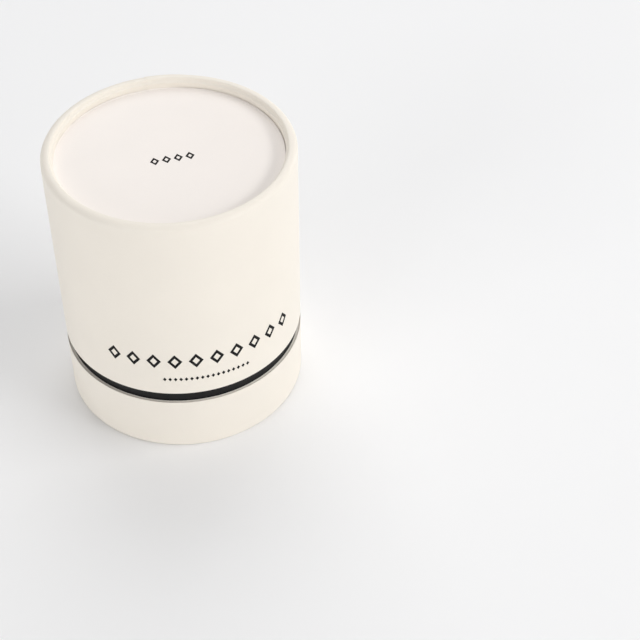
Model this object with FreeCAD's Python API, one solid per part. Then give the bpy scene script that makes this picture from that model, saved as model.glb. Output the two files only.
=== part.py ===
"""Cylindrical gift tube box: a lift-off lid over a black neck, on a shallow base. Millimetres, +Z up.

The axis is Z and the box stands on z = 0. Every piece is a board tube, a board disc or a sheet of paper
glued over them, turned about Z. The lid and the base are double board walls: a thin outer tube, with the
lid's stop sleeve or the neck inside it. A paper sheet covers each wall, rolls over the round rim or folds
round the square foot, and ends behind the recessed disc. The lid is drawn closed: its sleeve stands on the
neck's rim, so a narrow line of the neck stays in view between the lid and the base.
"""
import FreeCAD, Part
import math
import os

# Overall sizes
OUTER_DIAMETER = 92.0
TOTAL_HEIGHT = 109.0
BASE_HEIGHT = 24.0
REVEAL = 5.0
NECK_EXPOSED = 39.0

# Board, paper and glue
PAPER = 0.2
GLUE_LINE = 0.05
OUTER_BOARD = 0.9
NECK_BOARD = 2.25
SLEEVE_BOARD = 2.75
DISC_BOARD = 1.5

# Depth of each disc inside its rim
LID_RECESS = 4.2
FOOT_RECESS = 4.0

# Fits and margins
SLIDE_CLEARANCE = 0.25
STOP_GAP = 0.1
NECK_TURN_IN = 21.4
NECK_WRAP_LAP = 15.0

# Flats that draw each half-round rim, where it shows and where paper hides it, odd so that one lies level on top
SEEN_FLAT_COUNT = 5
HIDDEN_FLAT_COUNT = 3

# Radii from the outside in
OUTER_RADIUS = OUTER_DIAMETER / 2
SKIN = PAPER + GLUE_LINE
BOARD_RADIUS = OUTER_RADIUS - SKIN
OUTER_BORE = BOARD_RADIUS - OUTER_BOARD
SLEEVE_RADIUS = OUTER_BORE - GLUE_LINE
SLEEVE_BORE = SLEEVE_RADIUS - SLEEVE_BOARD
LID_RIM_BORE = SLEEVE_BORE - SKIN
NECK_RADIUS = OUTER_BORE - SLIDE_CLEARANCE
NECK_BOARD_RADIUS = NECK_RADIUS - SKIN
NECK_BOARD_BORE = NECK_BOARD_RADIUS - NECK_BOARD
NECK_BORE = NECK_BOARD_BORE - SKIN

# Half-round rims: radius of the roll and height of its centre
CROWN_SHARE = math.cos(math.pi / SEEN_FLAT_COUNT / 2)
LID_ROLL = (OUTER_RADIUS - LID_RIM_BORE) / 2
LID_ROLL_HEIGHT = TOTAL_HEIGHT - LID_ROLL * CROWN_SHARE
NECK_ROLL = (NECK_RADIUS - NECK_BORE) / 2
NECK_TOP = BASE_HEIGHT + NECK_EXPOSED
NECK_ROLL_HEIGHT = NECK_TOP - NECK_ROLL * CROWN_SHARE

# Heights of the lid's and the base's inner pieces
DISC_STACK = PAPER + GLUE_LINE + DISC_BOARD
FLOOR_TOP = FOOT_RECESS + DISC_STACK
LID_BOTTOM = BASE_HEIGHT + REVEAL
LID_DISC_TOP = TOTAL_HEIGHT - LID_RECESS
CEILING = LID_DISC_TOP - DISC_STACK
SLEEVE_BOTTOM = NECK_TOP + STOP_GAP

AXIS_POINT = FreeCAD.Vector(0, 0, 0)
AXIS = FreeCAD.Vector(0, 0, 1)


def turned(outline):
    """Solid turned about Z from an outline of (radius, height) points."""
    points = [FreeCAD.Vector(radius, 0, height) for radius, height in outline]
    wire = Part.makePolygon(points + points[:1])
    return Part.Face(wire).revolve(AXIS_POINT, AXIS, 360)


def ring(outer, bore, bottom, top):
    """Tube wall with square edges."""
    return turned([(bore, bottom), (outer, bottom), (outer, top), (bore, top)])


def disc(radius, bottom, top):
    """Flat round plate."""
    return Part.makeCylinder(radius, top - bottom, FreeCAD.Vector(0, 0, bottom), AXIS)


def half_round(outer, bore, height, flats):
    """Points of a half-round rim, from the outer wall over to the bore."""
    roll = (outer - bore) / 2
    middle = (outer + bore) / 2
    angles = [math.pi * step / flats for step in range(flats + 1)]
    return [(middle + roll * math.cos(angle), height + roll * math.sin(angle)) for angle in angles]


def wall(outer, bore, height, bottom):
    """Board wall with a half-round rim, before it is split into its tubes."""
    return turned([(outer, bottom)] + half_round(outer, bore, height, HIDDEN_FLAT_COUNT) + [(bore, bottom)])


def sheet(face, back, cut_edge, tail):
    """Paper glued round the outside from its cut edge, over an edge and along the bore to its tail."""
    front_outline = [(face[0][0], cut_edge)] + face + [(face[-1][0], tail)]
    back_outline = [(back[-1][0], tail)] + back[::-1] + [(back[0][0], cut_edge)]
    return turned(front_outline + back_outline)


def rolled_sheet(outer, bore, height, cut_edge, tail):
    """Sheet that rolls over a half-round rim."""
    face = half_round(outer, bore, height, SEEN_FLAT_COUNT)
    back = half_round(outer - PAPER, bore + PAPER, height, HIDDEN_FLAT_COUNT)
    return sheet(face, back, cut_edge, tail)


def folded_sheet(outer, bore, level, cut_edge, tail):
    """Sheet that folds round a square foot."""
    face = [(outer, level), (bore, level)]
    back = [(outer - PAPER, level + PAPER), (bore + PAPER, level + PAPER)]
    return sheet(face, back, cut_edge, tail)


def base_pieces():
    """Shallow base and the black neck glued into it, with the recessed bottom disc between them."""
    disc_radius = NECK_BORE - GLUE_LINE
    return {
        "base_tube": ring(BOARD_RADIUS, OUTER_BORE, SKIN, BASE_HEIGHT),
        "neck_tube": wall(NECK_BOARD_RADIUS, NECK_BOARD_BORE, NECK_ROLL_HEIGHT, SKIN),
        "base_wrap": folded_sheet(OUTER_RADIUS, NECK_BORE, 0, BASE_HEIGHT, FLOOR_TOP - GLUE_LINE),
        "neck_wrap": rolled_sheet(
            NECK_RADIUS, NECK_BORE, NECK_ROLL_HEIGHT, BASE_HEIGHT - NECK_WRAP_LAP, NECK_TOP - NECK_TURN_IN),
        "base_disc": disc(disc_radius, FLOOR_TOP - DISC_BOARD, FLOOR_TOP),
        "base_disc_cover": disc(disc_radius, FOOT_RECESS, FOOT_RECESS + PAPER),
    }


def lid_pieces():
    """Tall lid: outer tube, the inner sleeve that stops it on the neck, their paper and the recessed top disc."""
    lid_wall = wall(BOARD_RADIUS, SLEEVE_BORE, LID_ROLL_HEIGHT, LID_BOTTOM)
    outer_tube = ring(BOARD_RADIUS, OUTER_BORE, LID_BOTTOM, TOTAL_HEIGHT)
    inner_tube = ring(SLEEVE_RADIUS, SLEEVE_BORE, SLEEVE_BOTTOM, TOTAL_HEIGHT)
    disc_radius = LID_RIM_BORE - GLUE_LINE
    return {
        "lid_tube": lid_wall.common(outer_tube).Solids[0],
        "lid_sleeve": lid_wall.common(inner_tube).Solids[0],
        "lid_wrap": rolled_sheet(
            OUTER_RADIUS, LID_RIM_BORE, LID_ROLL_HEIGHT, LID_BOTTOM, CEILING + GLUE_LINE),
        "lid_disc": disc(disc_radius, CEILING, CEILING + DISC_BOARD),
        "lid_disc_cover": disc(disc_radius, LID_DISC_TOP - PAPER, LID_DISC_TOP),
    }


def main():
    """Build every piece and write each to its own file."""
    os.makedirs("parts", exist_ok=True)
    for pieces in (base_pieces(), lid_pieces()):
        for name, shape in pieces.items():
            shape.exportStep(f"parts/{name}.step")


main()
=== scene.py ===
import math

import bmesh
import bpy
from bpy.props import FloatProperty, FloatVectorProperty, IntProperty, PointerProperty
from mathutils import Matrix, Vector


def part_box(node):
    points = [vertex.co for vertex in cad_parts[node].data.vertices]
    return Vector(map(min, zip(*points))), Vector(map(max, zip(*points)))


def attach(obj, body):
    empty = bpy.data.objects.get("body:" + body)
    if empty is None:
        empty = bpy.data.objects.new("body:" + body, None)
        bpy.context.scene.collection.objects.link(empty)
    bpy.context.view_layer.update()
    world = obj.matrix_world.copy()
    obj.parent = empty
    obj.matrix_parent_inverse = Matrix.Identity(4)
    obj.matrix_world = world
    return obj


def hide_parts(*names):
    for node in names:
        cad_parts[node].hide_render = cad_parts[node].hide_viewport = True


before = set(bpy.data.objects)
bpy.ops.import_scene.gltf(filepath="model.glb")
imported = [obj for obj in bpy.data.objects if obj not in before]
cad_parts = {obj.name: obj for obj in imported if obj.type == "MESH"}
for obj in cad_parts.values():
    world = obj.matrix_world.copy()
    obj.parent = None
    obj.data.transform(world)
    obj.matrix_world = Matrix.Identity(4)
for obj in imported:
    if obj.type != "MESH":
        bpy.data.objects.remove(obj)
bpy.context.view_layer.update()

bl_info = {
    "name": "Cylindrical Gift Tube Box",
    "version": (1, 0, 0),
    "blender": (4, 5, 0),
    "location": "View3D > Sidebar > Tube Box",
    "description": "Dresses the solids of a paper tube box in rolled paper, board and print",
    "category": "Object",
}

# Places read from the solids, in metres
LID_LOW, LID_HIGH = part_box("lid_wrap")
SLEEVE_LOW, SLEEVE_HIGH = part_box("lid_sleeve")
LID_DISC_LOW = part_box("lid_disc")[0]
LID_COVER_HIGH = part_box("lid_disc_cover")[1]
NECK_LOW, NECK_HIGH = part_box("neck_wrap")
NECK_TUBE_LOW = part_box("neck_tube")[0]
BASE_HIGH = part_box("base_wrap")[1]
BASE_TUBE_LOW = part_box("base_tube")[0]
FLOOR_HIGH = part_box("base_disc")[1]
UNDER_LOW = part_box("base_disc_cover")[0]

MILLIMETRE = 0.001
FULL_TURN = 2 * math.pi
SHARP_EDGE = math.radians(50)
BELOW_ALL, ABOVE_ALL = -1.0, 1.0

# Glue between two pieces, how deep a cut edge shows its core, and how near two points are merged
GLUE_LINE = 0.05 * MILLIMETRE
CUT_EDGE = 0.02 * MILLIMETRE
MERGE_DISTANCE = 0.001 * MILLIMETRE

# Shares of the band that goes over a rim, from the outer wall at 0 over the crown to the bore at 1
BEAD_RISES, BEAD_FALLS = (0.0, 0.12), (0.3, 0.5)
INNER_SIDE = (0.45, 1.0)
PAST_CROWN = 0.501
FOLD_OPENS, FOLD_CLOSES = (0.6, 0.85), (0.87, 0.94)

# Lengths of bore past a rim's round between which its creases fade, and the levels of noise that make them
CREASE_FADE = (3 * MILLIMETRE, 7 * MILLIMETRE)
PLEAT_LEVELS = (0.5, 0.72)
CREASE_LEVELS = (0.45, 0.7)

# Size of the waves in the neck sheet's cut edge, as a share of its radius
EDGE_WAVE_SHARE = 0.2

# Shares of a wall or of a rim's roll that round off and raise the boards under the paper
LID_BOARD_SHARE = 0.9
SLEEVE_EASE_SHARE, SLEEVE_RISE_SHARE = 0.86, 0.66
NECK_BOARD_SHARE = 0.76

# Share of its gap by which the lid's disc sits to the left and to the front
DISC_ASIDE_SHARE = 0.7

# Levels of noise between which paper and board go from dark to light, and the part that fibres have in it
TONE_LEVELS = (0.3, 0.7)
SPECK_LEVELS = (0.35, 0.7)
FIBRE_PART = 0.55

# How far inside a board's outer face its brown line starts, and where it is full
BROWN_LINE = (0.22 * MILLIMETRE, 0.12 * MILLIMETRE)

# Finish of the neck's sheet: its print's ragged end, the wear, painted glints and tucks inside its rim, and its
# polish
RAGGED_REACH = 0.9 * MILLIMETRE
FLECK_LEVEL = 0.69
FLECK_TOP_SHARE, TUCK_TOP_SHARE = 0.4, 0.6
TURN_REACH = (-0.5 * MILLIMETRE, 0.3 * MILLIMETRE)
PATCH_LEVELS = (0.44, 0.6)
# Grey on the tucks' crests is partly print rubbed thin and partly painted glints
GLINT_AND_WEAR_LEVELS, GLINT_AND_WEAR_DEPTHS = (0.53, 0.64), (1.6 * MILLIMETRE, 0.5 * MILLIMETRE)
TUCK_LEVELS = (0.4, 0.66)
SCUFF_LEVELS, SCUFF_ROUGHNESS = (0.35, 0.75), (0.4, 0.48)
BURNISH, BURNISH_DEPTHS = -0.14, (3 * MILLIMETRE, MILLIMETRE)
GRAIN_PART = 0.1

# Width, height and place of each lamp, and the point that they face
LAMPS = {
    "key": (1.9, 0.55, (2.07, -0.44, 1.38)),
    "back": (2.0, 2.0, (0.0, 1.61, 1.97)),
    "left": (1.4, 0.9, (-1.58, -1.89, 0.48)),
    "right": (1.2, 1.2, (1.92, -1.35, 0.9)),
}
LAMP_AIM = (0.0, 0.0, 0.05)

# Strength of the backdrop, and the floor's half width, drop below the foot and glow towards the backdrop
BACKDROP = 0.9
FLOOR_REACH = 6.0
FLOOR_DROP = 0.02 * MILLIMETRE
FLOOR_GLOW, FLOOR_GLOW_SPAN = 0.52, (0.6, 4.0)
WHITE = (1.0, 1.0, 1.0, 1.0)


def length(name, description, default):
    """A length property in metres."""
    return FloatProperty(name=name, description=description, default=default, unit="LENGTH", precision=5)


def angle(name, description, degrees):
    """An angle property, written in degrees."""
    return FloatProperty(name=name, description=description, default=math.radians(degrees), subtype="ANGLE")


def power(name, description, watts):
    """A lamp's power property in watts."""
    return FloatProperty(name=name, description=description, default=watts, unit="POWER")


def share(name, description, default):
    """A property between 0 and 1."""
    return FloatProperty(name=name, description=description, default=default, subtype="FACTOR", min=0.0, max=1.0)


def count(name, description, default):
    """A whole number of things."""
    return IntProperty(name=name, description=description, default=default, subtype="UNSIGNED", min=1)


def colour(name, description, default):
    """A linear colour property."""
    return FloatVectorProperty(name=name, description=description, default=default, subtype="COLOR",
                               min=0.0, max=1.0)


class TubeBoxSizes(bpy.types.PropertyGroup):
    """Sizes of the paper and board pieces, most of them from the solids"""
    lid_radius: length("Lid Radius", "Outside of the lid's paper", LID_HIGH.x)
    lid_bore: length("Lid Rim Bore", "Inside of the lid's rolled rim", LID_COVER_HIGH.x + GLUE_LINE)
    lid_bottom: length("Lid Edge", "Height of the lid's lower cut edge", LID_LOW.z)
    lid_top: length("Lid Crown", "Height of the lid's rolled rim", LID_HIGH.z)
    lid_shoulder: length("Lid Shoulder", "Width of the rim's outer round, up to its crown", 2.6 * MILLIMETRE)
    neck_radius: length("Neck Radius", "Outside of the neck's sheet", NECK_HIGH.x)
    neck_bore: length("Neck Bore", "Inside of the neck's turned-in sheet", FLOOR_HIGH.x + GLUE_LINE)
    neck_bottom: length("Neck Sheet Edge", "Height of the neck sheet's lower edge, inside the base", NECK_LOW.z)
    neck_top: length("Neck Crown", "Height of the neck's rim", NECK_HIGH.z)
    neck_turn_in: length("Neck Turn-In", "Depth of the neck sheet inside the bore", 21.4 * MILLIMETRE)
    print_depth: length("Print Depth", "Depth of the black print inside the bore", 4.9 * MILLIMETRE)
    base_radius: length("Base Radius", "Outside of the base's paper", BASE_HIGH.x)
    base_top: length("Base Edge", "Height of the base's upper cut edge", BASE_HIGH.z)
    foot_ease: length("Foot Ease", "Rounding of the fold round the foot", 1.2 * MILLIMETRE)
    tube_bore: length("Tube Bore", "Inside of the two outer board tubes", SLEEVE_HIGH.x + GLUE_LINE)
    disc_gap: length("Disc Gap", "Gap between each disc and the wall round it", 0.14 * MILLIMETRE)
    disc_ease: length("Disc Ease", "Rounding of the bend in each disc's paper", 0.18 * MILLIMETRE)
    disc_lip: length("Disc Lip", "How far each disc's paper turns up against the wall round it", 0.4 * MILLIMETRE)


class TubeBoxPaper(bpy.types.PropertyGroup):
    """Thickness, laps, pleats and creases of the paper"""
    sheet: length("Sheet", "Thickness of the cream paper", 0.16 * MILLIMETRE)
    neck_sheet: length("Neck Sheet", "Thickness of the black sheet", 0.1 * MILLIMETRE)
    lap: length("Lap", "How far a sheet's end lies over its start", 9 * MILLIMETRE)
    unevenness: length("Unevenness", "How far the wall wanders from round", 0.035 * MILLIMETRE)
    groove: length("Groove", "Depth of the fold line inside the lid's rim", 0.47 * MILLIMETRE)
    pleat_depth: length("Pleat Depth", "Height of the pleats inside the rolled rims", 0.06 * MILLIMETRE)
    pleat_width: length("Pleat Width", "Size of one pleat", 1.8 * MILLIMETRE)
    streak_depth: length("Streak Depth", "Height of the creases that run round inside the rims", 0.09 * MILLIMETRE)
    streak_length: length("Streak Length", "Length of one crease", 14 * MILLIMETRE)
    streak_width: length("Streak Width", "Width of one crease", 0.45 * MILLIMETRE)
    edge_wobble: length("Edge Wobble", "How far the cut edge inside the neck wanders", 0.45 * MILLIMETRE)
    bead: length("Bead", "How far the neck's rim stands out from its wall", 0.09 * MILLIMETRE)
    tuck_width: length("Tuck Width", "Size of one fine tuck inside the neck's rim", 0.42 * MILLIMETRE)
    lid_seam: angle("Lid Seam", "Where the lid's lap seam shows", 105.9)
    base_seam: angle("Base Seam", "Where the base's lap seam shows", 140.0)
    neck_seam: angle("Neck Seam", "Where the neck's lap seam shows", 150.0)


class TubeBoxColours(bpy.types.PropertyGroup):
    """Colours of paper, board and print"""
    cream: colour("Cream Paper", "Cover paper of the lid and the base", (0.856, 0.803, 0.721))
    # The lid's disc has the cream paper, painted lighter and less yellow for how light falls on the top
    disc: colour("Disc Paper", "Paper on the lid's disc", (0.902, 0.847, 0.804))
    white: colour("White Ply", "White face of the tubes and discs", (0.865, 0.853, 0.862))
    coated: colour("Coated White", "Unprinted side of the neck's sheet", (0.935, 0.927, 0.905))
    black: colour("Black Print", "Print on the neck's sheet", (0.005, 0.0051, 0.0056))
    # Grey that stands partly for print rubbed thin and partly for painted glints on the tucks
    worn: colour("Worn Print", "Print rubbed thin on the tucks inside the neck's rim", (0.21, 0.21, 0.207))
    board: colour("Board", "Cut edge of the board", (0.90, 0.855, 0.78))
    glue: colour("Glue", "Line of glue and brown ply beside a cut edge", (0.70, 0.60, 0.50))
    ink: colour("Ink", "Printed ornament", (0.012, 0.0115, 0.0115))


class TubeBoxOrnament(bpy.types.PropertyGroup):
    """Printed rows of lozenges"""
    facing: angle("Facing", "Middle of the rows round the lid, and the turn of the one on its disc", -74.4)
    film: length("Film", "Thickness of the ink with what sinks into the paper", 0.07 * MILLIMETRE)
    large_count: count("Large Count", "Lozenges in the large row", 10)
    large_pitch: length("Large Pitch", "Spacing of the large row", 7.8 * MILLIMETRE)
    large_width: length("Large Width", "Width of a large lozenge", 5.5 * MILLIMETRE)
    large_height: length("Large Height", "Height of a large lozenge", 7.0 * MILLIMETRE)
    large_level: length("Large Level", "Height of the large row on the lid", 45.6 * MILLIMETRE)
    large_hollow: share("Large Hollow", "Open share of a large lozenge", 0.5)
    small_count: count("Small Count", "Lozenges in the small row", 17)
    small_pitch: length("Small Pitch", "Spacing of the small row", 2.0 * MILLIMETRE)
    small_width: length("Small Width", "Width of a small lozenge", 1.35 * MILLIMETRE)
    small_height: length("Small Height", "Height of a small lozenge", 1.9 * MILLIMETRE)
    small_level: length("Small Level", "Height of the small row on the lid", 36.5 * MILLIMETRE)
    top_count: count("Top Count", "Lozenges on the lid's disc", 4)
    top_pitch: length("Top Pitch", "Spacing of the row on the disc", 4.3 * MILLIMETRE)
    top_width: length("Top Width", "Width of a lozenge on the disc", 3.4 * MILLIMETRE)
    top_height: length("Top Height", "Height of a lozenge on the disc", 4.4 * MILLIMETRE)
    top_place: FloatVectorProperty(name="Top Place", description="Middle of the row on the disc", size=2,
                                   default=(1.0 * MILLIMETRE, -2.0 * MILLIMETRE), subtype="XYZ", unit="LENGTH")
    top_hollow: share("Top Hollow", "Open share of a lozenge on the disc", 0.46)


class TubeBoxStage(bpy.types.PropertyGroup):
    """Camera, lamps and floor"""
    eye: FloatVectorProperty(name="Eye", description="Camera position", default=(0.05373, -0.43519, 0.43738),
                             subtype="TRANSLATION", unit="LENGTH")
    pitch: FloatProperty(name="Pitch", description="Camera tilt below the horizon", default=0.76115,
                         subtype="ANGLE")
    roll: FloatProperty(name="Roll", description="Camera turn about its view", default=-0.00268, subtype="ANGLE")
    lens: FloatProperty(name="Lens", description="Focal length in millimetres", default=85.27, unit="CAMERA")
    key: power("Key", "Power of the lamp on the right", 29.0)
    back: power("Back", "Power of the wide lamp behind", 24.0)
    left: power("Left", "Power of the low lamp in front on the left", 19.0)
    right: power("Right", "Power of the low lamp in front on the right", 6.4)
    surround: share("Surround", "Strength of the light from all round", 0.41)
    floor: colour("Floor", "Pale floor", (0.902, 0.902, 0.908))


def connect(tree, socket, value):
    """Link a socket to another, or give it a value."""
    if isinstance(value, bpy.types.NodeSocket):
        tree.links.new(value, socket)
    elif value is not None:
        socket.default_value = value


def add_node(tree, kind, values=(), **settings):
    """A new node with its settings and its inputs, which are in order or by name."""
    made = tree.nodes.new(kind)
    for name, value in settings.items():
        setattr(made, name, value)
    pairs = values.items() if isinstance(values, dict) else enumerate(values)
    for key, value in pairs:
        connect(tree, made.inputs[key], value)
    return made


def calc(tree, operation, *values):
    """The result of one Math node."""
    return add_node(tree, "ShaderNodeMath", values, operation=operation).outputs[0]


def ramp(tree, value, start, end, low=0.0, high=1.0):
    """A smooth step of a value from low at start to high at end."""
    step = add_node(tree, "ShaderNodeMapRange", (value, start, end, low, high), interpolation_type="SMOOTHSTEP")
    return step.outputs[0]


def vector(tree, x, y, z):
    """Three values as one vector."""
    return add_node(tree, "ShaderNodeCombineXYZ", (x, y, z)).outputs[0]


def noise(tree, place, scale, detail=2.0, rough=0.5):
    """Soft noise between 0 and 1 at a place."""
    values = {"Vector": place, "Scale": scale, "Detail": detail, "Roughness": rough}
    return add_node(tree, "ShaderNodeTexNoise", values).outputs[0]


def wobble(tree, place, **settings):
    """Soft noise about 0, up to a half either way."""
    return calc(tree, "SUBTRACT", noise(tree, place, **settings), 0.5)


def new_tree(name, inputs):
    """An empty geometry tree with named inputs, and the sockets that bring them in."""
    tree = bpy.data.node_groups.new(name, "GeometryNodeTree")
    for title, kind in inputs:
        tree.interface.new_socket(title, in_out="INPUT", socket_type=kind)
    tree.interface.new_socket("Geometry", in_out="OUTPUT", socket_type="NodeSocketGeometry")
    given = add_node(tree, "NodeGroupInput").outputs
    return tree, {title: given[title] for title, kind in inputs}


def close_tree(tree, geometry, material):
    """End a tree with plain geometry and its material."""
    plain = add_node(tree, "GeometryNodeRealizeInstances", {"Geometry": geometry}).outputs[0]
    painted = add_node(tree, "GeometryNodeSetMaterial", {"Geometry": plain, "Material": material}).outputs[0]
    add_node(tree, "NodeGroupOutput", (painted,))


def rolled_sheet_tree():
    """Tree for a sheet glued round a wall, taken over its edge and along the bore, and lapped on itself."""
    lengths = ("Outer Radius", "Bore Radius", "Cut Edge", "Rim Height", "Outer Corner", "Inner Corner",
               "Corner Height", "Tail", "Side", "Lowest",
               "Seam", "Lap", "Lap Lift", "Unevenness", "Groove", "Pleat Depth", "Pleat Width", "Streak Depth",
               "Streak Length", "Streak Width", "Edge Wobble", "Bead")
    counts = ("Columns", "Wall Rows", "Rim Rows", "Tail Rows")
    inputs = [(name, "NodeSocketFloat") for name in lengths]
    inputs += [(name, "NodeSocketInt") for name in counts]
    inputs.append(("Material", "NodeSocketMaterial"))
    tree, given = new_tree("Rolled Sheet", inputs)
    outer, bore, rim_height, side = (given[name] for name in ("Outer Radius", "Bore Radius", "Rim Height", "Side"))

    # Each band starts as a flat grid from -0.5 to 0.5, read here from 0 to 1
    place = add_node(tree, "GeometryNodeInputPosition").outputs[0]
    grid_place = add_node(tree, "ShaderNodeSeparateXYZ", (place,)).outputs
    across = calc(tree, "ADD", grid_place[0], 0.5)
    along = calc(tree, "ADD", grid_place[1], 0.5)

    lap_turn = calc(tree, "DIVIDE", given["Lap"], outer)
    sweep = calc(tree, "ADD", lap_turn, FULL_TURN)
    turn = calc(tree, "MULTIPLY", calc(tree, "SUBTRACT", across, 1.0), sweep)
    bearing = calc(tree, "MULTIPLY_ADD", turn, side, given["Seam"])
    cosine = calc(tree, "COSINE", bearing)
    sine = calc(tree, "SINE", bearing)

    lap_share = calc(tree, "DIVIDE", lap_turn, sweep)
    lap_end = calc(tree, "SUBTRACT", 1.0, lap_share)
    lap_start = calc(tree, "SUBTRACT", lap_end, lap_share)
    lift = calc(tree, "MULTIPLY", ramp(tree, across, lap_start, lap_end), given["Lap Lift"])

    def round_place(size, height):
        """A place round the axis in steps of a size, for noise that closes on itself."""
        reach = calc(tree, "DIVIDE", outer, size)
        return vector(tree, calc(tree, "MULTIPLY", cosine, reach), calc(tree, "MULTIPLY", sine, reach), height)

    ridge = ramp(tree, noise(tree, round_place(given["Pleat Width"], 0.0), scale=1.0), *PLEAT_LEVELS)
    pleat = calc(tree, "MULTIPLY", ridge, given["Pleat Depth"])

    def swell(height, inner_share):
        """How far the sheet stands off its true surface."""
        uneven = calc(tree, "MULTIPLY", wobble(tree, round_place(1.0, height), scale=38.0), given["Unevenness"])
        step = calc(tree, "DIVIDE", height, given["Streak Width"])
        crease = ramp(tree, noise(tree, round_place(given["Streak Length"], step), scale=1.0), *CREASE_LEVELS)
        streak = calc(tree, "MULTIPLY_ADD", crease, given["Streak Depth"], pleat)
        return calc(tree, "MULTIPLY_ADD", streak, inner_share, calc(tree, "ADD", lift, uneven))

    def strip(rows, radius, height):
        """One band of the sheet, laid round the axis."""
        columns = calc(tree, "ADD", given["Columns"], 1)
        lines = calc(tree, "ADD", rows, 1)
        flat = add_node(tree, "GeometryNodeMeshGrid", (1.0, 1.0, columns, lines)).outputs[0]
        spot = vector(tree, calc(tree, "MULTIPLY", radius, cosine), calc(tree, "MULTIPLY", radius, sine), height)
        return add_node(tree, "GeometryNodeSetPosition", {"Geometry": flat, "Position": spot}).outputs[0]

    def between(start, end):
        """A value that runs from start to end along the band."""
        return calc(tree, "MULTIPLY_ADD", along, calc(tree, "SUBTRACT", end, start), start)

    wall_height = between(given["Cut Edge"], rim_height)
    wall_radius = calc(tree, "ADD", outer, swell(wall_height, 0.0))
    wall = strip(given["Wall Rows"], wall_radius, wall_height)

    past_crown = calc(tree, "GREATER_THAN", along, PAST_CROWN)
    rim_turn = calc(tree, "MULTIPLY", along, math.pi)
    bulge = calc(tree, "SUBTRACT", ramp(tree, along, *BEAD_RISES), ramp(tree, along, *BEAD_FALLS))
    rim_swell = calc(tree, "MULTIPLY_ADD", bulge, given["Bead"], swell(rim_height, ramp(tree, along, *INNER_SIDE)))

    def corner(edge, width, inward):
        """Radius of the sheet on one corner of the rim."""
        centre = calc(tree, "MULTIPLY_ADD", width, inward, edge)
        swollen = calc(tree, "ADD", width, rim_swell)
        return calc(tree, "MULTIPLY_ADD", swollen, calc(tree, "COSINE", rim_turn), centre)

    outer_part = corner(outer, given["Outer Corner"], -1.0)
    inner_part = corner(bore, given["Inner Corner"], 1.0)
    rounded = calc(tree, "MULTIPLY_ADD", calc(tree, "SUBTRACT", inner_part, outer_part), past_crown, outer_part)
    fold = calc(tree, "SUBTRACT", ramp(tree, along, *FOLD_OPENS), ramp(tree, along, *FOLD_CLOSES))
    rim_radius = calc(tree, "MULTIPLY_ADD", fold, given["Groove"], rounded)
    reach = calc(tree, "ADD", given["Corner Height"], rim_swell)
    rise = calc(tree, "MULTIPLY", calc(tree, "MULTIPLY", reach, calc(tree, "SINE", rim_turn)), side)
    rim_level = calc(tree, "MAXIMUM", calc(tree, "ADD", rim_height, rise), given["Lowest"])
    rim = strip(given["Rim Rows"], rim_radius, rim_level)

    edge_place = round_place(calc(tree, "MULTIPLY", outer, EDGE_WAVE_SHARE), 0.0)
    edge = wobble(tree, edge_place, scale=1.0, detail=3.0)
    tail_end = calc(tree, "MULTIPLY_ADD", edge, given["Edge Wobble"], given["Tail"])
    tail_height = between(rim_height, tail_end)
    depth = calc(tree, "ABSOLUTE", calc(tree, "SUBTRACT", tail_height, rim_height))
    creased = ramp(tree, depth, *CREASE_FADE, 1.0, 0.0)
    tail_radius = calc(tree, "SUBTRACT", bore, swell(tail_height, creased))
    tail = strip(given["Tail Rows"], tail_radius, tail_height)

    whole = add_node(tree, "GeometryNodeJoinGeometry")
    for band in (tail, rim, wall):
        tree.links.new(band, whole.inputs[0])
    values = {"Geometry": whole.outputs[0], "Distance": MERGE_DISTANCE}
    merged = add_node(tree, "GeometryNodeMergeByDistance", values).outputs[0]
    smooth = add_node(tree, "GeometryNodeSetShadeSmooth", {"Geometry": merged}).outputs[0]
    close_tree(tree, smooth, given["Material"])
    return tree


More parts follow.
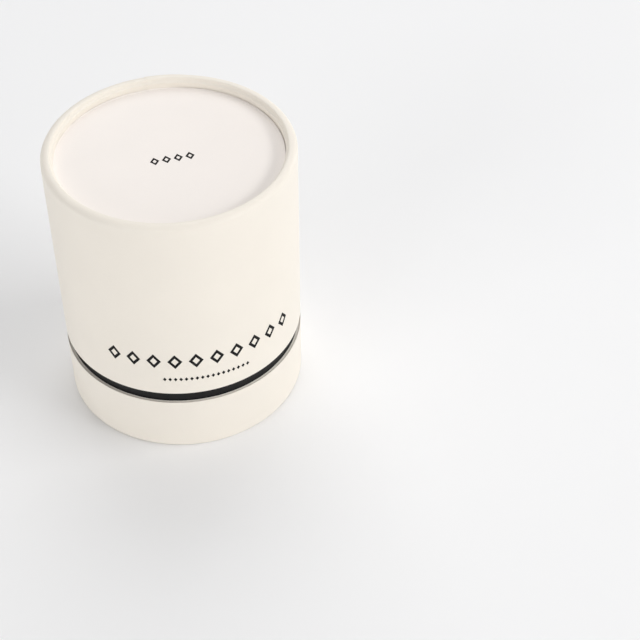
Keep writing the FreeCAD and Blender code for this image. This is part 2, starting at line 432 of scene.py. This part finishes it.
def lozenge_row_tree():
    """Tree for a printed row of lozenges, laid round the lid's wall or flat on its disc."""
    lengths = ("Pitch", "Width", "Height", "Hollow", "Film", "Wall Radius", "Facing", "Level", "Disc X", "Disc Y")
    inputs = [(name, "NodeSocketFloat") for name in lengths]
    inputs += [("Count", "NodeSocketInt"), ("On Wall", "NodeSocketBool"), ("Material", "NodeSocketMaterial")]
    tree, given = new_tree("Lozenge Row", inputs)

    half_row = calc(tree, "MULTIPLY", calc(tree, "SUBTRACT", given["Count"], 1), -0.5)
    first = calc(tree, "MULTIPLY", half_row, given["Pitch"])
    values = {"Count": given["Count"], "Start Location": vector(tree, first, 0.0, 0.0),
              "Offset": vector(tree, given["Pitch"], 0.0, 0.0)}
    row = add_node(tree, "GeometryNodeMeshLine", values).outputs[0]

    whole = add_node(tree, "GeometryNodeMeshCircle", {"Vertices": 4, "Radius": 0.5}, fill_type="NGON").outputs[0]
    inset = add_node(tree, "GeometryNodeExtrudeMesh", {"Mesh": whole, "Offset Scale": 0.0}).outputs
    values = {"Geometry": inset["Mesh"], "Selection": inset["Top"], "Scale": given["Hollow"]}
    shrunk = add_node(tree, "GeometryNodeScaleElements", values).outputs[0]
    values = {"Geometry": shrunk, "Selection": inset["Top"]}
    lozenge = add_node(tree, "GeometryNodeDeleteGeometry", values, domain="FACE").outputs[0]

    scale = vector(tree, given["Width"], given["Height"], 1.0)
    placed = add_node(tree, "GeometryNodeInstanceOnPoints", {"Points": row, "Instance": lozenge, "Scale": scale})
    plain = add_node(tree, "GeometryNodeRealizeInstances", {"Geometry": placed.outputs[0]}).outputs[0]
    fine = add_node(tree, "GeometryNodeSubdivideMesh", {"Mesh": plain, "Level": 3}).outputs[0]

    rise = vector(tree, 0.0, 0.0, given["Film"])
    values = {"Mesh": fine, "Offset": rise, "Offset Scale": 1.0, "Individual": False}
    raised = add_node(tree, "GeometryNodeExtrudeMesh", values).outputs[0]
    under = add_node(tree, "GeometryNodeFlipFaces", {"Mesh": fine}).outputs[0]
    both = add_node(tree, "GeometryNodeJoinGeometry")
    for half in (under, raised):
        tree.links.new(half, both.inputs[0])
    values = {"Geometry": both.outputs[0], "Distance": MERGE_DISTANCE}
    solid = add_node(tree, "GeometryNodeMergeByDistance", values).outputs[0]

    place = add_node(tree, "GeometryNodeInputPosition").outputs[0]
    flat = add_node(tree, "ShaderNodeSeparateXYZ", (place,)).outputs
    bearing = calc(tree, "ADD", given["Facing"], calc(tree, "DIVIDE", flat[0], given["Wall Radius"]))
    radius = calc(tree, "ADD", given["Wall Radius"], flat[2])
    on_wall = vector(tree, calc(tree, "MULTIPLY", radius, calc(tree, "COSINE", bearing)),
                     calc(tree, "MULTIPLY", radius, calc(tree, "SINE", bearing)),
                     calc(tree, "ADD", given["Level"], flat[1]))
    slant = vector(tree, 0.0, 0.0, calc(tree, "ADD", given["Facing"], FULL_TURN / 4))
    values = {"Vector": place, "Rotation": slant}
    turned = add_node(tree, "ShaderNodeVectorRotate", values, rotation_type="EULER_XYZ").outputs[0]
    lifted = vector(tree, given["Disc X"], given["Disc Y"], given["Level"])
    on_disc = add_node(tree, "ShaderNodeVectorMath", (turned, lifted), operation="ADD").outputs[0]
    spot = add_node(tree, "GeometryNodeSwitch", (given["On Wall"], on_disc, on_wall), input_type="VECTOR")
    values = {"Geometry": solid, "Position": spot.outputs[0]}
    laid = add_node(tree, "GeometryNodeSetPosition", values).outputs[0]
    close_tree(tree, laid, given["Material"])
    return tree


def tree_piece(context, name, tree, values, thickness=0.0):
    """A piece made by a tree with the given inputs, as a plain mesh."""
    piece = bpy.data.objects.new(name, bpy.data.meshes.new(name))
    context.scene.collection.objects.link(piece)
    maker = piece.modifiers.new("Maker", "NODES")
    maker.node_group = tree
    for item in tree.interface.items_tree:
        if item.in_out == "INPUT":
            maker[item.identifier] = values[item.name]
    if thickness:
        wall = piece.modifiers.new("Sheet", "SOLIDIFY")
        wall.thickness = thickness
        wall.offset = -1.0
        wall.use_even_offset = True
    context.view_layer.update()
    shown = piece.evaluated_get(context.evaluated_depsgraph_get())
    mesh = bpy.data.meshes.new_from_object(shown)
    piece.modifiers.clear()
    piece.data = mesh
    mesh.name = name
    mesh.set_sharp_from_angle(angle=SHARP_EDGE)
    return piece


def eased(corners, steps=5):
    """Outline points of square corners (radius, height, ease), each eased by an arc."""
    points = []
    for index, (radius, height, ease) in enumerate(corners):
        here = Vector((radius, height))
        if not ease:
            points.append(here)
            continue
        back = (Vector(corners[index - 1][:2]) - here).normalized()
        ahead = (Vector(corners[(index + 1) % len(corners)][:2]) - here).normalized()
        centre = here + (back + ahead) * ease
        for step in range(steps + 1):
            part = math.pi / 2 * step / steps
            points.append(centre - ahead * (ease * math.cos(part)) - back * (ease * math.sin(part)))
    return points


def turned_piece(context, name, corners, material, centre=(0.0, 0.0), columns=360):
    """A piece turned about an upright axis from the square corners of its outline."""
    points, rings = [], []
    for point in eased(corners):
        turns = [FULL_TURN * column / columns for column in range(columns if point.x > 0 else 1)]
        rings.append([len(points) + column % len(turns) for column in range(columns + 1)])
        points += [(centre[0] + point.x * math.cos(turn), centre[1] + point.x * math.sin(turn), point.y)
                   for turn in turns]
    pairs = list(zip(rings, rings[1:]))
    if min(corner[0] for corner in corners) > 0:
        pairs.append((rings[-1], rings[0]))
    faces = []
    for first, second in pairs:
        for column in range(columns):
            loop = (first[column], first[column + 1], second[column + 1], second[column])
            faces.append(list(dict.fromkeys(loop)))
    mesh = bpy.data.meshes.new(name)
    mesh.from_pydata(points, [], faces)
    build = bmesh.new()
    build.from_mesh(mesh)
    bmesh.ops.recalc_face_normals(build, faces=build.faces)
    build.to_mesh(mesh)
    build.free()
    mesh.shade_smooth()
    mesh.set_sharp_from_angle(angle=SHARP_EDGE)
    mesh.materials.append(material)
    piece = bpy.data.objects.new(name, mesh)
    context.scene.collection.objects.link(piece)
    return piece


def new_material(name, roughness, specular):
    """A material with its tree, its shader and the object's own coordinates."""
    material = bpy.data.materials.new(name)
    material.use_nodes = True
    tree = material.node_tree
    shader = tree.nodes["Principled BSDF"]
    shader.inputs["Roughness"].default_value = roughness
    shader.inputs["Specular IOR Level"].default_value = specular
    place = add_node(tree, "ShaderNodeTexCoord").outputs["Object"]
    return material, tree, shader, place


def shade(tint, amount=1.0):
    """A colour as it is, or made lighter or darker."""
    return (tint[0] * amount, tint[1] * amount, tint[2] * amount, 1.0)


def blend(tree, amount, first, second):
    """A colour between two."""
    mix = add_node(tree, "ShaderNodeMix", data_type="RGBA")
    connect(tree, mix.inputs[0], amount)
    connect(tree, mix.inputs[6], first)
    connect(tree, mix.inputs[7], second)
    return mix.outputs[2]


def toned(tree, amount, tint, low, high):
    """A colour between a darker and a lighter tone of itself."""
    return blend(tree, amount, shade(tint, low), shade(tint, high))


def tooth(tree, shader, height, depth, strength):
    """Fine relief of a surface."""
    values = {"Strength": strength, "Distance": depth, "Height": height}
    bump = add_node(tree, "ShaderNodeBump", values).outputs[0]
    connect(tree, shader.inputs["Normal"], bump)


def paper_material(name, tint, roughness, specular, variation):
    """Smooth uncoated paper: soft mottling, fine fibres and a little tooth."""
    if name in bpy.data.materials:
        return bpy.data.materials[name]
    material, tree, shader, place = new_material(name, roughness, specular)
    mottle = noise(tree, place, scale=55.0, detail=3.0)
    fibre = noise(tree, place, scale=2600.0, detail=4.0, rough=0.65)
    tone = calc(tree, "MULTIPLY_ADD", fibre, FIBRE_PART, calc(tree, "MULTIPLY", mottle, 1.0 - FIBRE_PART))
    paint = toned(tree, ramp(tree, tone, *TONE_LEVELS), tint, low=1.0 - variation, high=1.0 + variation)
    connect(tree, shader.inputs["Base Color"], paint)
    tooth(tree, shader, fibre, depth=0.02 * MILLIMETRE, strength=0.25)
    return material


def board_material(name, colours, radius, edge_low, edge_high):
    """White-faced board that shows its core, with a brown line at the outside, between two heights."""
    material, tree, shader, place = new_material(name, roughness=0.75, specular=0.2)
    fibre = noise(tree, place, scale=1800.0, detail=4.0, rough=0.7)
    speck = ramp(tree, noise(tree, place, scale=900.0), *SPECK_LEVELS)
    core = toned(tree, speck, colours.board, low=0.95, high=1.03)
    axes = add_node(tree, "ShaderNodeSeparateXYZ", (place,)).outputs
    around = vector(tree, axes[0], axes[1], 0.0)
    reach = add_node(tree, "ShaderNodeVectorMath", (around,), operation="LENGTH").outputs["Value"]
    line = ramp(tree, reach, *(radius - inset for inset in BROWN_LINE))
    cut = blend(tree, line, core, shade(colours.glue))
    skin = toned(tree, fibre, colours.white, low=0.97, high=1.02)
    above = calc(tree, "GREATER_THAN", axes[2], edge_low)
    below = calc(tree, "LESS_THAN", axes[2], edge_high)
    connect(tree, shader.inputs["Base Color"], blend(tree, calc(tree, "MULTIPLY", above, below), skin, cut))
    tooth(tree, shader, fibre, depth=0.03 * MILLIMETRE, strength=0.3)
    return material


def neck_material(name, colours, sizes, tuck_width):
    """Black print on a white coated sheet, burnished and tucked at the rim, that ends raggedly down the bore."""
    material, tree, shader, place = new_material(name, roughness=0.42, specular=0.24)
    axes = add_node(tree, "ShaderNodeSeparateXYZ", (place,)).outputs
    around = vector(tree, axes[0], axes[1], 0.0)
    radius = add_node(tree, "ShaderNodeVectorMath", (around,), operation="LENGTH").outputs["Value"]
    toward = add_node(tree, "ShaderNodeVectorMath", (around,), operation="NORMALIZE").outputs["Vector"]
    grain = noise(tree, place, scale=1500.0, detail=3.0, rough=0.6)
    middle = (sizes.neck_radius + sizes.neck_bore) / 2
    top = sizes.neck_top
    print_end = top - sizes.print_depth

    # Where the white of the sheet shows: below the print's ragged end, and in flecks a little above it
    inside = calc(tree, "LESS_THAN", radius, middle)
    ragged = wobble(tree, place, scale=900.0, detail=4.0, rough=0.7)
    line = calc(tree, "MULTIPLY_ADD", ragged, RAGGED_REACH, print_end)
    bare = calc(tree, "MULTIPLY", inside, calc(tree, "LESS_THAN", axes[2], line))
    near = ramp(tree, axes[2], print_end, top - FLECK_TOP_SHARE * sizes.print_depth, 1.0, 0.0)
    fleck = calc(tree, "GREATER_THAN", noise(tree, place, scale=2400.0), FLECK_LEVEL)
    worn = calc(tree, "MULTIPLY", calc(tree, "MULTIPLY", fleck, near), inside)
    white = calc(tree, "MAXIMUM", bare, worn)

    # Fine tucks of the print that is turned in, with grey on some of their crests that is partly print rubbed thin
    # and partly painted glints
    fold = noise(tree, toward, scale=sizes.neck_bore / tuck_width, detail=3.0, rough=0.6)
    inner = ramp(tree, radius, *(middle + reach for reach in TURN_REACH), 1.0, 0.0)
    upper = ramp(tree, axes[2], print_end, top - TUCK_TOP_SHARE * sizes.print_depth)
    turned_in = calc(tree, "MULTIPLY", inner, upper)
    patch = calc(tree, "MULTIPLY", turned_in, ramp(tree, noise(tree, place, scale=620.0), *PATCH_LEVELS))
    under = ramp(tree, axes[2], *(top - depth for depth in GLINT_AND_WEAR_DEPTHS), 1.0, 0.0)
    rubbed_and_glinting = calc(tree, "MULTIPLY", calc(tree, "MULTIPLY", ramp(tree, fold, *GLINT_AND_WEAR_LEVELS), patch), under)
    tucked = calc(tree, "MULTIPLY", turned_in, ramp(tree, fold, *TUCK_LEVELS))

    fresh = toned(tree, grain, colours.black, low=0.75, high=1.35)
    # Painted glints, together with real rubbing of the print, as grey on the tucks' crests
    dark = blend(tree, rubbed_and_glinting, fresh, shade(colours.worn))
    pale = toned(tree, grain, colours.coated, low=0.98, high=1.02)
    connect(tree, shader.inputs["Base Color"], blend(tree, white, dark, pale))
    scuff = noise(tree, place, scale=150.0, detail=4.0, rough=0.6)
    scuffed = ramp(tree, scuff, *SCUFF_LEVELS, *SCUFF_ROUGHNESS)
    burnish = ramp(tree, axes[2], *(top - depth for depth in BURNISH_DEPTHS), 0.0, BURNISH)
    connect(tree, shader.inputs["Roughness"], calc(tree, "ADD", scuffed, burnish))
    relief = calc(tree, "MULTIPLY_ADD", grain, GRAIN_PART, tucked)
    tooth(tree, shader, relief, depth=0.16 * MILLIMETRE, strength=0.6)
    return material


def ink_material(name, tint):
    """Matt black print with a slightly uneven film."""
    material, tree, shader, place = new_material(name, roughness=0.7, specular=0.1)
    film = noise(tree, place, scale=1400.0, detail=3.0)
    connect(tree, shader.inputs["Base Color"], toned(tree, film, tint, low=0.8, high=1.5))
    return material


def cream(context):
    """The cover paper of the lid and the base."""
    return paper_material("cream_cover_paper", context.scene.tubebox_colours.cream,
                          roughness=0.5, specular=0.4, variation=0.012)


def sheet_values(context, outer, bore, cut_edge, rim_height, corners, tail, seam, thickness, material):
    """Inputs of a rolled sheet: its own place, and what all sheets share."""
    paper = context.scene.tubebox_paper
    return {
        "Outer Radius": outer, "Bore Radius": bore, "Cut Edge": cut_edge, "Rim Height": rim_height,
        "Outer Corner": corners[0], "Inner Corner": corners[1], "Corner Height": corners[2], "Tail": tail,
        "Side": math.copysign(1.0, rim_height - cut_edge), "Lowest": 0.0,
        "Seam": seam, "Lap": paper.lap, "Lap Lift": thickness, "Unevenness": paper.unevenness, "Groove": 0.0,
        "Pleat Depth": paper.pleat_depth, "Pleat Width": paper.pleat_width, "Streak Depth": 0.0,
        "Streak Length": paper.streak_length, "Streak Width": paper.streak_width, "Edge Wobble": 0.0, "Bead": 0.0,
        "Columns": 600, "Wall Rows": 12, "Rim Rows": 34, "Tail Rows": 16, "Material": material,
    }


def white_ply(context):
    """The white ply inside the tubes and on the discs."""
    return paper_material("white_ply", context.scene.tubebox_colours.white,
                          roughness=0.6, specular=0.3, variation=0.012)


def sheet_tree():
    """The rolled sheet's tree, made once."""
    return bpy.data.node_groups.get("Rolled Sheet") or rolled_sheet_tree()


def settle(piece, body, slot, *nodes):
    """Let a piece ride on its body and stand for its solids."""
    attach(piece, body)
    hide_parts(*nodes)


class TUBEBOX_OT_lid_paper(bpy.types.Operator):
    """Wrap the lid in cream paper, rolled over its rim and lapped at the back"""
    bl_idname = "tubebox.lid_paper"
    bl_label = "Lid Paper"

    def execute(self, context):
        sizes = context.scene.tubebox_sizes
        paper = context.scene.tubebox_paper
        roll = (sizes.lid_radius - sizes.lid_bore) / 2
        inner = 2 * roll - sizes.lid_shoulder
        values = sheet_values(context, sizes.lid_radius, sizes.lid_bore, sizes.lid_bottom, sizes.lid_top - roll,
                              (sizes.lid_shoulder, inner, roll), LID_DISC_LOW.z + GLUE_LINE, paper.lid_seam,
                              paper.sheet, cream(context))
        values["Groove"] = paper.groove
        values["Streak Depth"] = paper.streak_depth
        piece = tree_piece(context, "lid_paper", sheet_tree(), values, paper.sheet)
        settle(piece, "lid", "cream_paper", "lid_wrap")
        return {"FINISHED"}


class TUBEBOX_OT_neck_paper(bpy.types.Operator):
    """Wrap the neck in its black printed sheet, rolled over the rim and turned down inside"""
    bl_idname = "tubebox.neck_paper"
    bl_label = "Neck Paper"

    def execute(self, context):
        sizes = context.scene.tubebox_sizes
        paper = context.scene.tubebox_paper
        roll = (sizes.neck_radius - sizes.neck_bore) / 2
        material = neck_material("black_printed_sheet", context.scene.tubebox_colours, sizes, paper.tuck_width)
        values = sheet_values(context, sizes.neck_radius, sizes.neck_bore, sizes.neck_bottom,
                              sizes.neck_top - roll, (roll, roll, roll), sizes.neck_top - sizes.neck_turn_in,
                              paper.neck_seam, paper.neck_sheet, material)
        values["Edge Wobble"] = paper.edge_wobble
        values["Bead"] = paper.bead
        piece = tree_piece(context, "neck_paper", sheet_tree(), values, paper.neck_sheet)
        settle(piece, "base", "black_paper", "neck_wrap")
        return {"FINISHED"}


class TUBEBOX_OT_base_paper(bpy.types.Operator):
    """Wrap the base in cream paper, folded round its foot"""
    bl_idname = "tubebox.base_paper"
    bl_label = "Base Paper"

    def execute(self, context):
        sizes = context.scene.tubebox_sizes
        paper = context.scene.tubebox_paper
        ease = sizes.foot_ease
        values = sheet_values(context, sizes.base_radius, sizes.neck_bore, sizes.base_top, ease,
                              (ease, ease, ease), FLOOR_HIGH.z - GLUE_LINE, paper.base_seam, paper.sheet,
                              cream(context))
        piece = tree_piece(context, "base_paper", sheet_tree(), values, paper.sheet)
        settle(piece, "base", "cream_paper", "base_wrap")
        return {"FINISHED"}


class TUBEBOX_OT_discs(bpy.types.Operator):
    """Set the two board discs, each with paper on its outer face that turns up against the wall"""
    bl_idname = "tubebox.discs"
    bl_label = "Discs"

    def execute(self, context):
        sizes = context.scene.tubebox_sizes
        colours = context.scene.tubebox_colours
        # Painted top light: the lid's disc gets the cream paper in a lighter, less yellow tint
        disc_paper = paper_material("disc_cover_paper", colours.disc,
                                    roughness=0.5, specular=0.4, variation=0.012)
        lid_edge = sizes.lid_bore - sizes.disc_gap
        aside = -DISC_ASIDE_SHARE * sizes.disc_gap
        self.covered_disc(context, "lid", lid_edge, LID_COVER_HIGH.z, LID_DISC_LOW.z, disc_paper, (aside, aside))
        base_edge = sizes.neck_bore - sizes.disc_gap
        self.covered_disc(context, "base", base_edge, UNDER_LOW.z, FLOOR_HIGH.z, cream(context), (0.0, 0.0))
        return {"FINISHED"}

    def covered_disc(self, context, body, edge, outside, inside, cover_paper, centre):
        """A board disc between two heights, with paper on its outside face that ends in a lip."""
        ease = context.scene.tubebox_sizes.disc_ease
        lip = context.scene.tubebox_sizes.disc_lip
        paper = context.scene.tubebox_paper.sheet
        inward = math.copysign(1.0, inside - outside)
        skin = paper + GLUE_LINE
        cover = turned_piece(context, f"{body}_disc_paper", [
            (0.0, outside, 0.0),
            (edge - paper, outside, ease),
            (edge - paper, outside - inward * lip, 0.0),
            (edge, outside - inward * lip, 0.0),
            (edge, outside + inward * paper, ease + paper),
            (0.0, outside + inward * paper, 0.0),
        ], cover_paper, centre)
        settle(cover, body, "cream_paper", f"{body}_disc_cover")
        board = turned_piece(context, f"{body}_disc_board", [
            (0.0, outside + inward * skin, 0.0),
            (edge, outside + inward * skin, GLUE_LINE),
            (edge, inside, GLUE_LINE),
            (0.0, inside, 0.0),
        ], white_ply(context), centre)
        settle(board, body, "white_board", f"{body}_disc")


class TUBEBOX_OT_boards(bpy.types.Operator):
    """Wind the four board tubes, with white faces and cut edges"""
    bl_idname = "tubebox.boards"
    bl_label = "Boards"

    def execute(self, context):
        sizes = context.scene.tubebox_sizes
        colours = context.scene.tubebox_colours
        skin = context.scene.tubebox_paper.sheet + 2 * GLUE_LINE
        lid_roll = (sizes.lid_radius - sizes.lid_bore) / 2
        neck_roll = (sizes.neck_radius - sizes.neck_bore) / 2
        rim = sizes.lid_top - lid_roll

        outer = sizes.base_radius - skin
        edge = board_material("base_board_ply", colours, outer, sizes.base_top - CUT_EDGE, ABOVE_ALL)
        foot = sizes.foot_ease - skin
        self.tube(context, "base_board", ("base", "grey_board", "base_tube"), edge,
                  (sizes.tube_bore, outer, BASE_TUBE_LOW.z, sizes.base_top), (0.0, foot, 0.0, 0.0))
        edge = board_material("lid_board_ply", colours, outer, BELOW_ALL, sizes.lid_bottom + CUT_EDGE)
        shoulder = (outer - sizes.tube_bore) * LID_BOARD_SHARE
        self.tube(context, "lid_board", ("lid", "grey_board", "lid_tube"), edge,
                  (sizes.tube_bore, outer, sizes.lid_bottom, rim + shoulder), (0.0, 0.0, shoulder, 0.0))
        edge = board_material("sleeve_board_ply", colours, SLEEVE_HIGH.x, BELOW_ALL, SLEEVE_LOW.z + CUT_EDGE)
        shoulder = lid_roll * SLEEVE_EASE_SHARE
        self.tube(context, "lid_sleeve_board", ("lid", "white_board", "lid_sleeve"), edge,
                  (sizes.lid_bore + skin, SLEEVE_HIGH.x, SLEEVE_LOW.z, rim + SLEEVE_RISE_SHARE * lid_roll),
                  (0.0, 0.0, 0.0, shoulder))
        shoulder = neck_roll * NECK_BOARD_SHARE
        self.tube(context, "neck_board", ("base", "white_board", "neck_tube"), white_ply(context),
                  (sizes.neck_bore + skin, sizes.neck_radius - skin, NECK_TUBE_LOW.z,
                   sizes.neck_top - neck_roll + shoulder), (foot, 0.0, shoulder, shoulder))
        return {"FINISHED"}

    def tube(self, context, name, rides, material, extent, eases):
        """One board tube: its body, a slot name that is not used, its solid, and its corners' eases, from the
        bore's foot outwards.
        """
        bore, outer, bottom, top = extent
        places = ((bore, bottom), (outer, bottom), (outer, top), (bore, top))
        corners = [(radius, height, ease) for (radius, height), ease in zip(places, eases)]
        piece = turned_piece(context, name, corners, material)
        settle(piece, *rides)


class TUBEBOX_OT_print(bpy.types.Operator):
    """Print rows of plain lozenges on the lid's front and on its disc"""
    bl_idname = "tubebox.print"
    bl_label = "Print"

    def execute(self, context):
        sizes = context.scene.tubebox_sizes
        ornament = context.scene.tubebox_ornament
        tree = lozenge_row_tree()
        common = {
            "Film": ornament.film, "Facing": ornament.facing, "Wall Radius": sizes.lid_radius - ornament.film / 2,
            "Disc X": ornament.top_place[0], "Disc Y": ornament.top_place[1],
            "Material": ink_material("black_ink", context.scene.tubebox_colours.ink),
        }
        rows = {
            "large": {"Hollow": ornament.large_hollow, "Level": ornament.large_level, "On Wall": True},
            "small": {"Hollow": 0.0, "Level": ornament.small_level, "On Wall": True},
            "top": {"Hollow": ornament.top_hollow, "Level": LID_COVER_HIGH.z - ornament.film / 2,
                    "On Wall": False},
        }
        titles = ("Count", "Pitch", "Width", "Height")
        for row, own in rows.items():
            lozenge = {title: getattr(ornament, f"{row}_{title.lower()}") for title in titles}
            piece = tree_piece(context, f"lid_print_{row}", tree, {**common, **lozenge, **own})
            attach(piece, "lid")
        return {"FINISHED"}


def in_view(tree):
    """1 for rays that show the background: to the camera, mirrored or through glass."""
    path = add_node(tree, "ShaderNodeLightPath").outputs
    mirrored = calc(tree, "MAXIMUM", path["Is Glossy Ray"], path["Is Transmission Ray"])
    return calc(tree, "MAXIMUM", path["Is Camera Ray"], mirrored)


def area_lamp(context, name, watts, width, height, place):
    """A soft lamp that faces the box, and that the camera doesn't see."""
    lamp = bpy.data.lights.new(name, "AREA")
    lamp.energy = watts
    lamp.shape = "RECTANGLE"
    lamp.size = width
    lamp.size_y = height
    holder = bpy.data.objects.new(name, lamp)
    holder.location = place
    holder.visible_camera = False
    aim = Vector(LAMP_AIM) - Vector(place)
    holder.rotation_euler = aim.to_track_quat("-Z", "Y").to_euler()
    context.scene.collection.objects.link(holder)


class TUBEBOX_OT_stage(bpy.types.Operator):
    """Set the pale floor, the soft lamps, the surround and the camera"""
    bl_idname = "tubebox.stage"
    bl_label = "Stage"

    def execute(self, context):
        stage = context.scene.tubebox_stage
        self.floor(context, stage)
        self.lights(context, stage)
        self.camera(context, stage)
        context.scene.view_settings.view_transform = "Standard"
        return {"FINISHED"}

    def floor(self, context, stage):
        """A wide pale floor that takes the box's shadow and meets the backdrop far off."""
        mesh = bpy.data.meshes.new("floor")
        sides = ((-1, -1), (1, -1), (1, 1), (-1, 1))
        corners = [(x * FLOOR_REACH, y * FLOOR_REACH, -FLOOR_DROP) for x, y in sides]
        mesh.from_pydata(corners, [], [(0, 1, 2, 3)])
        material, tree, shader, place = new_material("pale_floor", roughness=0.75, specular=0.2)
        grain = noise(tree, place, scale=9.0)
        connect(tree, shader.inputs["Base Color"], toned(tree, grain, stage.floor, low=0.99, high=1.01))
        away = add_node(tree, "ShaderNodeVectorMath", (place,), operation="LENGTH").outputs["Value"]
        shader.inputs["Emission Color"].default_value = WHITE
        glow = calc(tree, "MULTIPLY", ramp(tree, away, *FLOOR_GLOW_SPAN, 0.0, FLOOR_GLOW), in_view(tree))
        connect(tree, shader.inputs["Emission Strength"], glow)
        mesh.materials.append(material)
        floor = bpy.data.objects.new("floor", mesh)
        context.scene.collection.objects.link(floor)

    def lights(self, context, stage):
        """The lamps, and a surround that lights every side and looks like a pale backdrop to the camera."""
        for name, (width, height, place) in LAMPS.items():
            area_lamp(context, name, getattr(stage, name), width, height, place)
        world = bpy.data.worlds.new("surround")
        world.use_nodes = True
        tree = world.node_tree
        background = tree.nodes["Background"]
        background.inputs["Color"].default_value = WHITE
        strength = calc(tree, "MULTIPLY_ADD", in_view(tree), BACKDROP - stage.surround, stage.surround)
        connect(tree, background.inputs["Strength"], strength)
        context.scene.world = world

    def camera(self, context, stage):
        """The camera, tilted down and turned a little about its view."""
        view = bpy.data.cameras.new("camera")
        view.sensor_width = 36.0
        view.lens = stage.lens
        view.clip_start = 0.01
        view.clip_end = 50.0
        ahead = Vector((0.0, math.cos(stage.pitch), -math.sin(stage.pitch)))
        right = Vector((1.0, 0.0, 0.0))
        up = right.cross(ahead)
        level = right * math.cos(stage.roll) + up * math.sin(stage.roll)
        upright = up * math.cos(stage.roll) - right * math.sin(stage.roll)
        turn = Matrix((level, upright, -ahead)).transposed().to_4x4()
        camera = bpy.data.objects.new("camera", view)
        camera.matrix_world = Matrix.Translation(Vector(stage.eye)) @ turn
        context.scene.collection.objects.link(camera)
        context.scene.camera = camera


class TUBEBOX_PT_panel(bpy.types.Panel):
    """The box's pieces and their sizes"""
    bl_idname = "TUBEBOX_PT_panel"
    bl_label = "Tube Box"
    bl_space_type = "VIEW_3D"
    bl_region_type = "UI"
    bl_category = "Tube Box"

    def draw(self, context):
        for operator in OPERATORS:
            self.layout.operator(operator.bl_idname)
        for name, group in GROUPS.items():
            box = self.layout.box()
            box.label(text=group.__doc__)
            for field in group.__annotations__:
                box.prop(getattr(context.scene, name), field)


GROUPS = {
    "tubebox_sizes": TubeBoxSizes,
    "tubebox_paper": TubeBoxPaper,
    "tubebox_colours": TubeBoxColours,
    "tubebox_ornament": TubeBoxOrnament,
    "tubebox_stage": TubeBoxStage,
}
OPERATORS = (
    TUBEBOX_OT_lid_paper,
    TUBEBOX_OT_neck_paper,
    TUBEBOX_OT_base_paper,
    TUBEBOX_OT_discs,
    TUBEBOX_OT_boards,
    TUBEBOX_OT_print,
    TUBEBOX_OT_stage,
)


def register():
    """Add the classes and the scene's settings."""
    for kind in (*GROUPS.values(), *OPERATORS, TUBEBOX_PT_panel):
        bpy.utils.register_class(kind)
    for name, group in GROUPS.items():
        setattr(bpy.types.Scene, name, PointerProperty(type=group))


def unregister():
    """Take the classes and the settings away."""
    for name in GROUPS:
        delattr(bpy.types.Scene, name)
    for kind in (TUBEBOX_PT_panel, *OPERATORS, *GROUPS.values()):
        bpy.utils.unregister_class(kind)


def main():
    """Add the settings and build every piece in order."""
    register()
    bpy.ops.tubebox.lid_paper()
    bpy.ops.tubebox.neck_paper()
    bpy.ops.tubebox.base_paper()
    bpy.ops.tubebox.discs()
    bpy.ops.tubebox.boards()
    bpy.ops.tubebox.print()
    bpy.ops.tubebox.stage()


if __name__ == "__main__":
    main()
